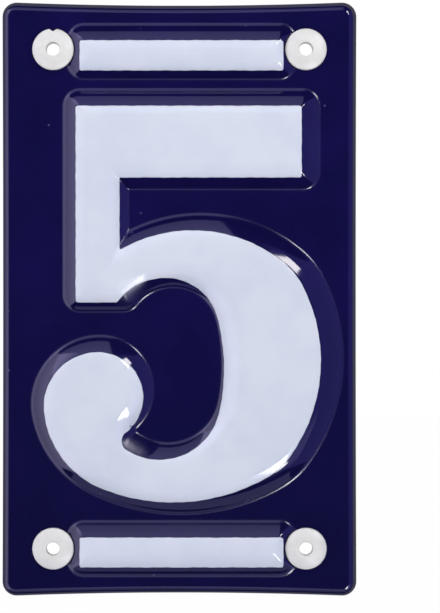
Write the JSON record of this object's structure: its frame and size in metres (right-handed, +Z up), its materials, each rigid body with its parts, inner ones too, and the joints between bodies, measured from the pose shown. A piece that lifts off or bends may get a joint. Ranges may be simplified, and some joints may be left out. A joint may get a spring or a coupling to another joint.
{
  "type": "house number plaque",
  "caption": "Upright pressed enamel plaque with a raised white numeral between raised bars, turned back edges and moulded screw eyelets at its corners.",
  "frame": {"origin": "middle of the four screw holes, on the wall plane behind the plaque", "axes": "+Z up, +X to the viewer's right, front facing -Y, wall plane at Y = 0"},
  "size_m": [0.0894, 0.0064, 0.15],
  "materials": {
    "blue_enamel": "glossy vitreous enamel on pressed steel",
    "white_enamel": "glossy vitreous enamel",
    "eyelet_plastic": "moulded satin"
  },
  "bodies": {
    "root": {"plate": "blue_enamel", "numeral_enamel": "white_enamel", "top_bar_enamel": "white_enamel", "bottom_bar_enamel": "white_enamel", "screw_eyelet_top_left": "eyelet_plastic", "screw_eyelet_top_right": "eyelet_plastic", "screw_eyelet_bottom_left": "eyelet_plastic", "screw_eyelet_bottom_right": "eyelet_plastic"}
  },
  "joints": []
}
